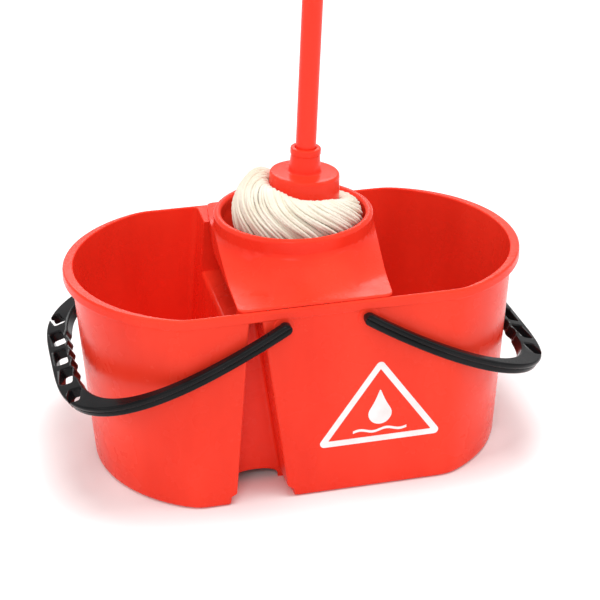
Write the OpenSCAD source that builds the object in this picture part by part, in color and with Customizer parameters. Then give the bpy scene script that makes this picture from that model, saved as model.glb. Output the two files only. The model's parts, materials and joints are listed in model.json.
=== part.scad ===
/* [Bucket] */
// Length over the rim
bucket_length = 510; // [480:5:560]
// Width over the rim
bucket_width = 294; // [280:2:310]
// Height to the top of the rim
bucket_height = 230; // [220:2:240]
// Thickness of the moulded walls and floor
wall = 3; // [2.5:0.5:3.5]
// Height of the ridge that parts the two tanks
ridge_height = 168; // [140:2:172]
// How deep the front and back grooves run in between the tanks
groove_depth = 48; // [40:1:55]

/* [Bails] */
// Distance of each bail pivot from the middle
pivot_x = 45; // [42:1:50]
// Height of the bail pivots
pivot_z = 211; // [208:1:212]
// How far the left bail hangs below the horizontal at rest
left_droop = 30.4; // [28:0.1:31]
// How far the right bail hangs below the horizontal at rest
right_droop = 34; // [28:0.1:34]
// Length of a bail from its pivot to the far side of its grip
bail_reach = 243.5; // [243.5:0.5:248]
// Depth of the two-rail finger grip
grip_depth = 24; // [23:0.5:24]
// Thickness of a bail, square to its plane
bail_thick = 13; // [11:0.5:14]
// Width of a bail's arms
arm_width = 10.5; // [9:0.5:13]

/* [Wringer] */
// Outer radius of the collar
collar_r = 87.5; // [85:0.5:88]
// Height of the collar's lip above the floor
collar_top = 277.5; // [270:0.5:285]
// Inner radius of the drain cone at its bottom
cone_bottom_r = 42; // [36:1:44]
// Number of drain slots round the cone
slot_count = 16; // [12:2:20]

/* [Mop] */
// Lean of the mop away from upright
mop_lean = 3; // [0:0.5:3]
// Length of the handle tube
tube_length = 1200; // [1100:50:1400]
// Outer diameter of the handle tube
tube_d = 22; // [21:0.5:23]
// Outer radius of the mop head's bell
bell_r = 39; // [37:0.5:40]

/* [Hidden] */
bucket_color = [0.93, 0.16, 0.08];
$fn = 96;
eps = 0.01;
// How far a cutter reaches past the face it cuts
over = 1;

// Rim: an oval with straight sides and round ends, as [half length, half width, end of the straight side]
rim = [bucket_length / 2, bucket_width / 2, 148.4];
wall_top = [rim[0] - 8.5, rim[1] - 0.8, 148.0];
wall_base = [rim[0] - 21.6, rim[1] - 3, 141];
foot = [wall_base[0] - 5, wall_base[1] - 5, 138];
foot_rise = 5;
tank_foot_inset = 4;
lip_height = 11.5;

// The groove between the tanks narrows upward: its left and right edges at the floor and at its top
groove_top_z = bucket_height - lip_height;
groove_floor = [-99.6, -40.9];
groove_head = [-80.9, -67.4];
web_y = rim[1] - groove_depth;
foot_step = 6;
foot_step_z = 12;
arch_height = 15;
ridge_gap_margin = 12;
ridge_gap_length = 48;

// Pivots
pin_r = 5;
pin_clearance = 0.06;
boss_r = 11;
boss_depth = 5.2;
boss_face_y = rim[1] + 0.1;
bore_length = boss_depth + 8;
bail_gap = 1.3;
arm_inner_y = boss_face_y + bail_gap;
arm_outer_y = arm_inner_y + arm_width;
pin_head_r = 6.6;
pin_head_gap = 0.5;
pin_head_len = 3;
pin_length = boss_depth + pin_head_gap + pin_head_len;

// Bail shape in its own plane: arms, then a rounded end; the plane bows upward towards the grip
bow = 39.5;
bow_at = 250;
arm_end = 45;
round_power = 3.8;
grip_rail = 5.6;
grip_bar = 12;
grip_hole = 33;
scallop_pitch = 24;
scallop_depth = 2.5;
scallop_r = 9;
grip_curve = 1.2;
grip_fan = 6;
end_hole_cut = 8;
plan_low = -20;
plan_tall = 90;

// Wringer
collar_in_r = collar_r - 8.5;
straight_z = 262;
cone_floor_z = 128;
cone_shoulder = 6;
collar_flare = 2;
collar_bite = 1.5;
collar_wall = 3.5;
collar_low_z = 250;
wringer_gap = 0.3;
saddle_z = bucket_height + wringer_gap;
saddle_thick = 3;
saddle_right = 72;
saddle_left = 92;
saddle_back_left = 71;
side_step = 0.7;
side_x = collar_r + side_step;
side_y = 13;
saddle_y = rim[1] - 2.5;
skirt_top_z = 264;
skirt_shoulder_z = 259;
skirt_foot_r = 128;
skirt_far_r = 200;
slot_w = 8;
slot_low_z = 142;
slot_high_z = 205;
slot_reach = 60;
drain_r = 6;
drain_ring_r = 24;
drain_count = 6;

// Mop: its own frame stands at the middle of the bell, leaning about Y
mop_x = 12.4;
mop_z = 305;
bell_top = 15;
bell_foot = -17;
bell_wall = 2.5;
neck_r = 16;
neck_top = 43;
socket_r = 10.5;
socket_low = -6;
mouth_r = 11.4;
tube_low = 33;
tube_r = tube_d / 2;
tube_wall = 0.9;
thread_clearance = 0.1;
thread_pitch = 4;
thread_len = 34;
plug_len = 30;
cap_len = 46;
cap_r = tube_r + 1.2;
hang_hole_r = 4;
cap_top = tube_low + tube_length + 30;
yarn_gap = 0.4;
yarn_bell_cut = 80;
yarn_hump = [-36, 16, -12];
yarn_hump_r = 28;
yarn_side = [-36, -4, -45];
yarn_side_r = 34;
yarn_profile = [[0, -160], [31, -158], [37, -150], [62, -60], [66.5, -42], [66.5, -30], [63, -14], [54, -2],
    [44, 2], [0, 2]];
clamp_r = 14.5;
clamp_flange_r = 26;
clamp_profile = [[clamp_r, 1], [clamp_r, 9], [17, 9], [18, 4], [clamp_flange_r, 3], [clamp_flange_r, 1]];
neck_ring = 0.6;
neck_foot = 3;
mouth_depth = 0.5;
bell_bevel = 3.5;
plug_r = tube_r - tube_wall;
thread_root = 1.4;
thread_rings = 7;
cap_plug = 20;
cap_skirt = 8;
eye_thick = 10;
eye_span = 34;
eye_z = cap_top - 6;

// Front sign
sign_middle = [59.4, 93];
sign_half = 61.5;
sign_low = -30.4;
sign_high = 57;
sign_round = 5;
sign_line = 7;
sign_thick = 0.5;
sign_sink = 0.12;
drop_r = 13;
drop_y = -1;
drop_pinch = 0.62;
drop_point = 1.25;
wave_y = -19.5;
wave_width = 60;
wave_rise = 1.6;
wave_line = 3;

// ---- outlines ----

// Oval with straight sides: o = [half length, half width, end of the straight side]
module oval(o) {
    end = o[0] - o[2];
    r = (end * end + o[1] * o[1]) / (2 * end);
    square([2 * o[2], 2 * o[1]], center = true);
    for (side = [-1, 1])
        intersection() {
            translate([side * (o[0] - r), 0]) circle(r, $fn = 128);
            translate([side * (o[2] + end), 0]) square([2 * end + eps, 2 * o[1]], center = true);
        }
}

module slice(z) translate([0, 0, z]) linear_extrude(eps) children();

// Outline grown or shrunk by d all round
function grown(o, d) = [o[0] + d, o[1] + d, o[2]];

// ---- bucket ----

// Left and right edges of the groove at height z
function groove_left(z) = groove_floor[0] + (groove_head[0] - groove_floor[0]) * z / groove_top_z;
function groove_right(z) = groove_floor[1] + (groove_head[1] - groove_floor[1]) * z / groove_top_z;

module tank_cavity(side) {
    low = wall;
    high = bucket_height + over;
    span = 2 * bucket_length;
    edge = side < 0
        ? [groove_left(low) - wall, groove_left(high) - wall]
        : [groove_right(low) + wall, groove_right(high) + wall];
    difference() {
        hull() {
            slice(low) intersection() {
                oval(grown(wall_base, -wall - tank_foot_inset));
                translate([edge[0] + side * span / 2, 0]) square(span, center = true);
            }
            slice(low + foot_rise) intersection() {
                oval(grown(wall_base, -wall));
                translate([edge[0] + side * span / 2, 0]) square(span, center = true);
            }
            slice(high) intersection() {
                oval(grown(wall_top, -wall));
                translate([edge[1] + side * span / 2, 0]) square(span, center = true);
            }
        }
        groove_heel();
    }
}

// Solid left standing along the groove, where the tanks' feet step back
module groove_heel() {
    low_x = groove_floor[0] - foot_step - wall;
    high_x = groove_floor[1] + foot_step + wall;
    translate([low_x, -bucket_width, 0]) cube([high_x - low_x, 2 * bucket_width, foot_step_z + wall]);
}

// Outline of the groove, which is wider at the tanks' feet and narrows upward
module groove_profile(top) {
    polygon([
        [groove_left(0) - foot_step, -over],
        [groove_left(foot_step_z) - foot_step, foot_step_z],
        [groove_left(foot_step_z), foot_step_z],
        [groove_left(top), top],
        [groove_right(top), top],
        [groove_right(foot_step_z), foot_step_z],
        [groove_right(foot_step_z) + foot_step, foot_step_z],
        [groove_right(0) + foot_step, -over]
    ]);
}

module groove(front, back, top) {
    translate([0, back, 0])
        rotate([90, 0, 0])
            linear_extrude(back - front) groove_profile(top);
}

module pivot_boss(x, side) {
    translate([x, side * (boss_face_y - boss_depth), pivot_z])
        rotate([-side * 90, 0, 0]) cylinder(r = boss_r, h = boss_depth);
}

module pivot_bore(x, side) {
    translate([x, side * (boss_face_y + over), pivot_z])
        rotate([side * 90, 0, 0]) cylinder(r = pin_r + pin_clearance, h = bore_length);
}

module bucket() {
    color(bucket_color)
        difference() {
            union() {
                difference() {
                    union() {
                        hull() {
                            slice(0) oval(foot);
                            slice(foot_rise) oval(wall_base);
                            slice(bucket_height - eps) oval(wall_top);
                        }
                        translate([0, 0, groove_top_z]) linear_extrude(lip_height) oval(rim);
                    }
                    tank_cavity(-1);
                    tank_cavity(1);
                    translate([groove_left(ridge_height) - ridge_gap_margin, -web_y + wall, ridge_height])
                        cube([ridge_gap_length, 2 * (web_y - wall), bucket_height]);
                }
                for (side = [-1, 1], x = [-pivot_x, pivot_x]) pivot_boss(x, side);
            }
            groove(-rim[1] - over, -web_y, groove_top_z);
            groove(web_y, rim[1] + over, groove_top_z);
            groove(-web_y + wall, web_y - wall, ridge_height - wall);
            groove(-web_y - over, web_y + over, arch_height);
            for (side = [-1, 1], x = [-pivot_x, pivot_x]) pivot_bore(x, side);
        }
}

// Plain rounded triangle with a water drop, printed on the front wall
module sign_outline(d) {
    offset(sign_round + d) polygon([[-sign_half, sign_low], [sign_half, sign_low], [0, sign_high]]);
}

// Round foot drawn out to a point at the top
function drop_lift(a) = pow(max(0, sin(a)), 3);

module drop_shape(r) {
    polygon([
        for (a = [-90:9:269])
            [r * cos(a) * (1 - drop_pinch * drop_lift(a)), r * sin(a) * (1 + drop_point * drop_lift(a))]
    ]);
}

// Short rippling line
module wave_shape(width, rise, line) {
    half = width / 2;
    function ripple(x) = rise * sin(720 * x / width);
    polygon(concat(
        [for (i = [-10:10]) [half * i / 10, ripple(half * i / 10)]],
        [for (i = [10:-1:-10]) [half * i / 10, ripple(half * i / 10) - line]]
    ));
}

module slip_sign() {
    front_y = -wall_base[1] - (wall_top[1] - wall_base[1]) * sign_middle[1] / bucket_height;
    tilt = atan((wall_top[1] - wall_base[1]) / (bucket_height - foot_rise));
    color([0.96, 0.96, 0.95])
        translate([sign_middle[0], front_y, sign_middle[1]])
            rotate([90 + tilt, 0, 0])
                translate([0, 0, -sign_sink]) linear_extrude(sign_thick) {
                    difference() {
                        sign_outline(0);
                        sign_outline(-sign_line);
                    }
                    translate([0, drop_y]) drop_shape(drop_r);
                    translate([0, wave_y]) wave_shape(wave_width, wave_rise, wave_line);
                }
}

// ---- bails ----

// Half width of a rounded bail outline at reach s: straight arms, then a power curve to the end
function bail_half(s, half, reach) = s <= arm_end
    ? half
    : half * pow(max(0, 1 - pow((s - arm_end) / (reach - arm_end), round_power)), 1 / round_power);

// Reaches from the pivot to the end, closer together where the outline turns
function reach_step(reach, t) = arm_end + (reach - arm_end) * sin(90 * t);

module bail_outline(half, reach, start) {
    steps = 30;
    side = [for (i = [0:steps]) let (s = reach_step(reach, i / steps)) [s, bail_half(s, half, reach)]];
    polygon(concat(
        [[start, half]],
        side,
        [for (i = [steps - 1:-1:0]) [side[i][0], -side[i][1]]],
        [[start, -half]]
    ));
}

// Seen square to its plane: two arms and the ladder-like grip
module bail_plan() {
    inner_reach = bail_reach - grip_depth;
    hole_depth = grip_depth - 2 * grip_rail;
    hole_middle = inner_reach + grip_rail + hole_depth / 2;
    difference() {
        bail_outline(arm_outer_y, bail_reach, -bail_thick / 2);
        bail_outline(arm_inner_y, inner_reach, -bail_thick);
        for (i = [-2:2])
            translate([hole_middle - i * i * grip_curve, i * (grip_hole + grip_bar)])
                rotate(-i * grip_fan)
                    square([hole_depth, grip_hole - (abs(i) == 2 ? end_hole_cut : 0)], center = true);
        for (i = [-2:2])
            translate([inner_reach - scallop_r, i * scallop_pitch])
                circle(r = scallop_r + scallop_depth, $fn = 48);
    }
}

// Seen from the side: a strip that bows upward towards the grip
module bail_strip() {
    steps = 14;
    last = bail_reach + 2 * over;
    centre = [for (i = [0:steps]) let (s = last * i / steps) [s, bow * pow(s / bow_at, 2)]];
    half = bail_thick / 2;
    polygon(concat(
        [[-half - over, -half]],
        [for (p = centre) p - [0, half]],
        [for (i = [steps:-1:0]) centre[i] + [0, half]],
        [[-half - over, half]]
    ));
}

// A bail reaching along +X from the pivot at the origin
module bail_body() {
    intersection() {
        translate([0, 0, plan_low]) linear_extrude(plan_tall) bail_plan();
        translate([0, arm_outer_y + over, 0])
            rotate([90, 0, 0]) linear_extrude(2 * (arm_outer_y + over)) union() {
                difference() {
                    bail_strip();
                    translate([-bail_thick - over, -bail_thick])
                        square([bail_thick + over, 2 * bail_thick]);
                }
                circle(r = bail_thick / 2, $fn = 64);
            }
    }
    for (side = [-1, 1]) {
        translate([0, side * (arm_inner_y + over), 0])
            rotate([side * 90, 0, 0]) cylinder(r = pin_r, h = over + bail_gap + pin_length, $fn = 64);
        translate([0, side * (boss_face_y - boss_depth - pin_head_gap), 0])
            rotate([side * 90, 0, 0]) cylinder(r = pin_head_r, h = pin_head_len, $fn = 64);
    }
}

module right_bail() {
    color([0.07, 0.07, 0.08])
        translate([pivot_x, 0, pivot_z]) rotate([0, right_droop, 0]) bail_body();
}

module left_bail() {
    color([0.07, 0.07, 0.08]) mirror([1, 0, 0])
        translate([pivot_x, 0, pivot_z]) rotate([0, left_droop, 0]) bail_body();
}

// ---- wringer ----

module wringer_shell() {
    lip_r = (collar_r - collar_in_r) / 2;
    rotate_extrude() {
        translate([collar_in_r + lip_r, collar_top - lip_r]) circle(r = lip_r, $fn = 32);
        polygon([
            [collar_in_r, collar_top - lip_r],
            [collar_r, collar_top - lip_r],
            [collar_r, collar_low_z],
            [collar_r - collar_wall, collar_low_z],
            [collar_in_r + wall, straight_z - cone_shoulder],
            [cone_bottom_r + wall, cone_floor_z],
            [0, cone_floor_z],
            [0, cone_floor_z + wall],
            [cone_bottom_r, cone_floor_z + wall],
            [collar_in_r, straight_z]
        ]);
    }
}

// Outline of the foot that rests on the rim: wide at the front and back, drawn in at the sides
module saddle_outline(d) {
    polygon([
        [saddle_right + d, -saddle_y - d],
        [side_x + d, -side_y],
        [side_x + d, side_y],
        [saddle_right + d, saddle_y + d],
        [-saddle_back_left - d, saddle_y + d],
        [-side_x - d, side_y],
        [-saddle_left - d, -saddle_y - d]
    ]);
}

// Cone that runs out into a flat foot, turned about the collar's axis and lowered by d
module skirt_cone(d) {
    rotate_extrude()
        polygon([
            [0, saddle_z - over],
            [skirt_far_r, saddle_z - over],
            [skirt_far_r, saddle_z + saddle_thick - d],
            [skirt_foot_r - d, saddle_z + saddle_thick - d],
            [collar_r + collar_flare - d, skirt_shoulder_z - d],
            [collar_r - over - d, skirt_top_z - d],
            [0, skirt_top_z - d]
        ]);
}

// Shell of the skirt, cut off at the foot's outline and open underneath
module skirt() {
    difference() {
        intersection() {
            skirt_cone(0);
            translate([0, 0, saddle_z]) linear_extrude(skirt_top_z) saddle_outline(0);
        }
        intersection() {
            skirt_cone(wall);
            linear_extrude(skirt_top_z) saddle_outline(-wall);
            cylinder(r = skirt_foot_r - wall, h = skirt_top_z);
        }
        cylinder(r = collar_r - collar_bite, h = collar_top);
    }
}

module drain_hole() {
    translate([0, 0, cone_floor_z - over]) cylinder(r = drain_r, h = wall + 2 * over, $fn = 32);
}

module wringer() {
    color(bucket_color)
        difference() {
            union() {
                wringer_shell();
                skirt();
            }
            for (i = [0:slot_count - 1])
                rotate(i * 360 / slot_count)
                    translate([cone_bottom_r - slot_w, -slot_w / 2, slot_low_z])
                        cube([slot_reach, slot_w, slot_high_z - slot_low_z]);
            drain_hole();
            for (i = [0:drain_count - 1])
                rotate(i * 360 / drain_count) translate([drain_ring_r, 0, 0]) drain_hole();
        }
}

// ---- mop ----

module in_mop_frame() translate([mop_x, 0, mop_z]) rotate([0, mop_lean, 0]) children();

module mop_yarn() {
    color([0.93, 0.90, 0.80]) in_mop_frame()
        difference() {
            hull() {
                rotate_extrude($fn = 72) polygon(yarn_profile);
                translate(yarn_hump) sphere(r = yarn_hump_r, $fn = 36);
                translate(yarn_side) sphere(r = yarn_side_r, $fn = 36);
            }
            translate([0, 0, bell_foot - yarn_gap]) cylinder(r = bell_r + yarn_gap, h = yarn_bell_cut);
        }
}

module mop_socket() {
    color(bucket_color) in_mop_frame()
        rotate_extrude()
            polygon([
                [socket_r, socket_low],
                [clamp_r, socket_low],
                [clamp_r, bell_top - bell_wall - 1],
                [bell_r - bell_wall - 1.5, bell_top - bell_wall - 1],
                [bell_r - bell_wall, bell_foot],
                [bell_r, bell_foot],
                [bell_r - 1, bell_top - 3],
                [bell_r - bell_bevel, bell_top],
                [neck_r + neck_foot, bell_top + 2],
                [neck_r, bell_top + 2 * neck_foot],
                [neck_r - 0.8, neck_top - 8],
                [neck_r + neck_ring, neck_top - 7],
                [neck_r + neck_ring, neck_top - 1],
                [neck_r - 0.4, neck_top],
                [mouth_r, neck_top],
                [mouth_r, tube_low - mouth_depth],
                [socket_r, tube_low - mouth_depth]
            ]);
}

// Ring pressed on the socket's inner boss, which clamps the ends of the yarn
module yarn_retainer() {
    color([0.75, 0.75, 0.77]) in_mop_frame()
        rotate_extrude() translate([0, socket_low]) polygon(clamp_profile);
}

// Threaded end, pressed into the tube; its thread turns in the socket
module threaded_end() {
    crest = socket_r - thread_clearance;
    color([0.16, 0.16, 0.17]) in_mop_frame() {
        translate([0, 0, tube_low]) cylinder(r = plug_r, h = plug_len, $fn = 64);
        translate([0, 0, tube_low - thread_len])
            cylinder(r = crest - thread_root, h = thread_len, $fn = 64);
        for (i = [0:thread_rings - 1])
            translate([0, 0, tube_low - thread_len + 3 + i * thread_pitch])
                cylinder(r = crest, h = thread_pitch / 2, $fn = 64);
    }
}

module handle_tube() {
    color(bucket_color) in_mop_frame()
        translate([0, 0, tube_low])
            difference() {
                cylinder(r = tube_r, h = tube_length, $fn = 64);
                translate([0, 0, -over]) cylinder(r = plug_r, h = tube_length + 2 * over, $fn = 64);
            }
}

// Cap pushed into the top of the tube, with an eye to hang the mop by
module hang_cap() {
    tube_top = tube_low + tube_length;
    color(bucket_color) in_mop_frame()
        difference() {
            union() {
                translate([0, 0, tube_top - cap_plug]) cylinder(r = plug_r, h = cap_plug + eps, $fn = 64);
                translate([0, 0, tube_top]) cylinder(r = cap_r, h = cap_skirt, $fn = 64);
                intersection() {
                    translate([0, 0, tube_top]) cylinder(r = cap_r, h = cap_len, $fn = 64);
                    translate([0, eye_thick / 2, cap_top - 4]) rotate([90, 0, 0]) hull() {
                        circle_plate();
                        translate([0, -eye_span, 0]) circle_plate();
                    }
                }
            }
            translate([0, 2 * eye_thick, eye_z])
                rotate([90, 0, 0]) cylinder(r = hang_hole_r, h = 4 * eye_thick, $fn = 64);
        }
}

module circle_plate() cylinder(r = cap_r, h = eye_thick, $fn = 32);

bucket();
slip_sign();
left_bail();
right_bail();
wringer();
mop_yarn();
mop_socket();
yarn_retainer();
threaded_end();
handle_tube();
hang_cap();
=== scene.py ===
"""Looks of the mop and bucket with wringer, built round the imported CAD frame."""

import json
import math
import random

import bmesh
import bpy
import numpy as np
from mathutils import Matrix, Vector


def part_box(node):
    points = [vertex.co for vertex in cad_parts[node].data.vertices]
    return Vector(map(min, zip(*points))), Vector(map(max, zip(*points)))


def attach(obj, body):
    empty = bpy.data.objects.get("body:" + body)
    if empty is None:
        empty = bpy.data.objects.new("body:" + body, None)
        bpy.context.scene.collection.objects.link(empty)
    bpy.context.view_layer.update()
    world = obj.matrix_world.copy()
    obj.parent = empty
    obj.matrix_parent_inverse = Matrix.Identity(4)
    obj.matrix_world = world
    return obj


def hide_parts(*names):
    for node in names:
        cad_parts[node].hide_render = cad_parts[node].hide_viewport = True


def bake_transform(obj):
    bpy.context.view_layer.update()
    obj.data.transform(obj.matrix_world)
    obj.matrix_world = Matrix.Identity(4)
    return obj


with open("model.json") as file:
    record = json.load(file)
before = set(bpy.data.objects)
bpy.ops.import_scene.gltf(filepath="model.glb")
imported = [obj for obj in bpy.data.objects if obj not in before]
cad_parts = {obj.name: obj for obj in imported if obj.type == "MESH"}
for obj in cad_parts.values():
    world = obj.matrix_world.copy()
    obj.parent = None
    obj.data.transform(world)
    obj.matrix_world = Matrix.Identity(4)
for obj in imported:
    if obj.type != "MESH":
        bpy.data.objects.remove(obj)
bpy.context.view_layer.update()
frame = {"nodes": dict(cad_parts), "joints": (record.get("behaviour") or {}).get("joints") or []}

# ---- driving dimensions, in millimetres ----

MM = 0.001
JOINTS = {joint["name"]: joint for joint in frame["joints"]}
BUCKET_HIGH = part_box("bucket")[1]
WRINGER_LOW, WRINGER_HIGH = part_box("wringer")

RIM_Z = BUCKET_HIGH[2] / MM
RIM_X = BUCKET_HIGH[0] / MM
RIM_Y = BUCKET_HIGH[1] / MM - 0.1
LIP_Z = RIM_Z - 11.5
WALL = 3.0

# Oval outlines: half length, half width, end of the straight side
RIM = (RIM_X, RIM_Y, 148.4)
WALL_TOP = (RIM_X - 8.5, RIM_Y - 0.8, 148.0)
WALL_BASE = (RIM_X - 21.6, RIM_Y - 3.0, 141.0)
FOOT = (RIM_X - 26.6, RIM_Y - 8.0, 138.0)
FOOT_RISE = 5.0

GROOVE_FLOOR = (-99.6, -40.9)
GROOVE_HEAD = (-80.9, -67.4)
WEB_Y = 99.0
FOOT_STEP = 6.0
RIDGE_Z = 168.0
PILLAR_Y = 96.0

PIVOT_X = abs(JOINTS["right_bail_pivot"]["pos_m"][0]) / MM
PIVOT_Z = JOINTS["right_bail_pivot"]["pos_m"][2] / MM
BOSS_R = 11.0
BOSS_DEPTH = 5.2
BORE_DEPTH = 9

BAIL_DROOP = {-1: math.radians(30.4), 1: math.radians(34.0)}
BAIL_INNER = 148.4
BAIL_WIDTH = 10.5
BAIL_REACH = 243.5
BAIL_GRIP = 24.0
BAIL_RAIL = 5.6
BAIL_STRAIGHT = 45.0
BAIL_THICK = 13.0
BAIL_BOW = 39.5
BAIL_BOW_AT = 250.0
BAIL_POWER = 3.8
WINDOW_PITCH = 45.0
WINDOW_FAN = 6
WINDOW_CURVE = 1.2
SCALLOP_PITCH = 24
SCALLOP_END = 62

COLLAR_R = 87.5
COLLAR_IN_R = 79.0
COLLAR_TOP = WRINGER_HIGH[2] / MM
CONE_FLOOR = WRINGER_LOW[2] / MM
CONE_BOTTOM_R = 42.0
STRAIGHT_Z = 262.0
COLLAR_LOW_Z = 250
COLLAR_WALL = 3.5
SLOTS = 16
DRAINS = 6
DRAIN_RING_R = 24
SADDLE_Z = RIM_Z + 0.3
SADDLE_RIGHT = 72.0
SADDLE_LEFT = 92.0
SADDLE_BACK_LEFT = 71.0
SADDLE_Y = RIM_Y - 2.5
SIDE_X = 88.2
SIDE_Y = 13.0

SIGN_MIDDLE = (59.4, 93.0)
SIGN_CORNERS = [(-61.5, -30.4), (61.5, -30.4), (0.0, 57.0)]
SIGN_ROUND = 5.0
SIGN_LINE = 7.0

MOP_ORIGIN = Vector(JOINTS["mop_twist"]["pos_m"])
MOP_AXIS = Vector(JOINTS["mop_twist"]["axis"]).normalized()
STRAND_R = 1.95


# ---- mesh helpers ----


def add_object(name, mesh):
    piece = bpy.data.objects.new(name, mesh)
    bpy.context.scene.collection.objects.link(piece)
    return piece


def make_mesh(name, points, faces):
    """A mesh object from points in millimetres, with its faces turned outward."""
    mesh = bpy.data.meshes.new(name)
    mesh.from_pydata([tuple(float(c) * MM for c in p) for p in points], [], faces)
    work = bmesh.new()
    work.from_mesh(mesh)
    bmesh.ops.recalc_face_normals(work, faces=work.faces)
    work.to_mesh(mesh)
    work.free()
    return add_object(name, mesh)


def loft_parts(rings, looped=False):
    """Points and faces of a surface through rings of equal point counts."""
    rows, count = len(rings), len(rings[0])
    points = [p for ring in rings for p in ring]
    faces = []
    for i in range(rows if looped else rows - 1):
        low, high = i * count, (i + 1) % rows * count
        for j in range(count):
            k = (j + 1) % count
            faces.append((low + j, low + k, high + k, high + j))
    if not looped:
        faces.append(tuple(range(count - 1, -1, -1)))
        faces.append(tuple(range((rows - 1) * count, rows * count)))
    return points, faces


def loft(name, rings, looped=False):
    """A mesh object through rings, with end caps unless the last ring joins the first."""
    return make_mesh(name, *loft_parts(rings, looped))


def lathe(name, profile, steps=128):
    """A closed profile of (radius, height) turned about Z."""
    rings = []
    for i in range(steps):
        a = 2 * math.pi * i / steps
        rings.append([(r * math.cos(a), r * math.sin(a), z) for r, z in profile])
    return loft(name, rings, looped=True)


def merged(target, cutter, operation):
    """Applies a boolean of cutter on target and deletes cutter; stops the script if nothing is left."""
    step = target.modifiers.new("step", "BOOLEAN")
    step.operation = operation
    step.solver = "EXACT"
    step.object = cutter
    applied(target)
    if not target.data.polygons:
        raise ValueError(f"{target.name} was emptied by {cutter.name}")
    bpy.data.objects.remove(cutter)


def applied(piece):
    """Bakes a piece's modifiers into its mesh."""
    graph = bpy.context.evaluated_depsgraph_get()
    mesh = bpy.data.meshes.new_from_object(piece.evaluated_get(graph))
    piece.modifiers.clear()
    piece.data = mesh


def cleaned(piece, reach=0.02):
    """Welds doubled points and drops edges of no length."""
    work = bmesh.new()
    work.from_mesh(piece.data)
    bmesh.ops.remove_doubles(work, verts=work.verts, dist=reach * MM)
    bmesh.ops.dissolve_degenerate(work, edges=work.edges, dist=reach * MM / 2)
    work.to_mesh(piece.data)
    work.free()


def smoothed(piece, angle=32):
    """Smooth shading that keeps flat faces flat and true corners sharp."""
    mesh = piece.data
    mesh.shade_smooth()
    mesh.set_sharp_from_angle(angle=math.radians(angle))
    keep = piece.modifiers.new("normals", "WEIGHTED_NORMAL")
    keep.keep_sharp = True
    keep.weight = 80


def joined(target, *others):
    """Puts the meshes of others into target."""
    work = bmesh.new()
    work.from_mesh(target.data)
    for other in others:
        work.from_mesh(other.data)
        bpy.data.objects.remove(other)
    work.to_mesh(target.data)
    work.free()
    return target


def placed(piece, matrix):
    """Moves a piece's mesh, not its object; the matrix is in metres."""
    piece.data.transform(matrix)
    return piece


def mop_matrix():
    """Places the mop's own frame, with its Z along the mop."""
    turn = Vector((0, 0, 1)).rotation_difference(MOP_AXIS).to_matrix().to_4x4()
    return Matrix.Translation(MOP_ORIGIN) @ turn


# ---- outlines ----


def rounded(points, cuts, steps=5):
    """A closed outline whose corners are rounded off over the given distances."""
    out = []
    for i, (corner, cut) in enumerate(zip(points, cuts)):
        corner = np.array(corner, float)
        if cut == 0:
            out.append(corner)
            continue
        before = np.array(points[i - 1], float) - corner
        after = np.array(points[(i + 1) % len(points)], float) - corner
        start = corner + before / np.linalg.norm(before) * cut
        end = corner + after / np.linalg.norm(after) * cut
        for t in np.linspace(0, 1, steps + 1):
            out.append((1 - t) ** 2 * start + 2 * t * (1 - t) * corner + t**2 * end)
    return np.array(out)


def end_arc(oval, side, steps=56):
    """The round end of an oval, anticlockwise, without the corners where it meets the straight sides."""
    half, width, corner = oval
    run = half - corner
    radius = (run**2 + width**2) / (2 * run)
    middle = half - radius
    full = math.atan2(width, corner - middle)
    spread = full - 16 / radius
    return [
        (side * (middle + radius * math.cos(a)), side * radius * math.sin(a))
        for a in np.linspace(-spread, spread, steps)
    ]


def mixed(a, b, t):
    """The point between a and b at t."""
    return tuple(x + (y - x) * t for x, y in zip(a, b))


def grown(oval, d):
    """The oval grown by d all round."""
    return (oval[0] + d, oval[1] + d, oval[2])


def groove_edge(side, z):
    """Left (0) or right (1) edge of the groove between the tanks at height z."""
    return GROOVE_FLOOR[side] + (GROOVE_HEAD[side] - GROOVE_FLOOR[side]) * z / LIP_Z


def outer_outline(oval, left, right):
    """The bucket's outer outline, with the front and back grooves."""
    points, cuts = [], []

    def add(x, y, cut):
        points.append((x, y))
        cuts.append(cut)

    for side in (1, -1):
        arc = end_arc(oval, side)
        add(side * oval[2], -side * oval[1], 11)
        points.extend(arc)
        cuts.extend([0] * len(arc))
        add(side * oval[2], side * oval[1], 11)
        first, second = (right, left) if side > 0 else (left, right)
        add(first, side * oval[1], 3.0)
        add(first, side * WEB_Y, 4.5)
        add(second, side * WEB_Y, 4.5)
        add(second, side * oval[1], 3.0)
    return rounded(points, cuts)


def plain_outline(oval, corner=11):
    """The whole oval, without the grooves."""
    points, cuts = [], []
    for side in (1, -1):
        arc = end_arc(oval, side)
        points.append((side * oval[2], -side * oval[1]))
        points.extend(arc)
        points.append((side * oval[2], side * oval[1]))
        cuts.extend([corner] + [0] * len(arc) + [corner])
    return rounded(points, cuts)


def tank_outline(oval, side, edge, corner=7):
    """One tank's inner outline: the oval's end, cut off by the wall along the ridge."""
    arc = end_arc(oval, side)
    points = [(side * oval[2], -side * oval[1]), *arc, (side * oval[2], side * oval[1])]
    points += [(edge, side * oval[1]), (edge, -side * oval[1])]
    cuts = [9] + [0] * len(arc) + [9, corner, corner]
    return rounded(points, cuts)


def at_height(outline, z):
    """A flat outline as a ring at height z."""
    return [(x, y, z) for x, y in outline]


# ---- bucket ----


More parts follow.
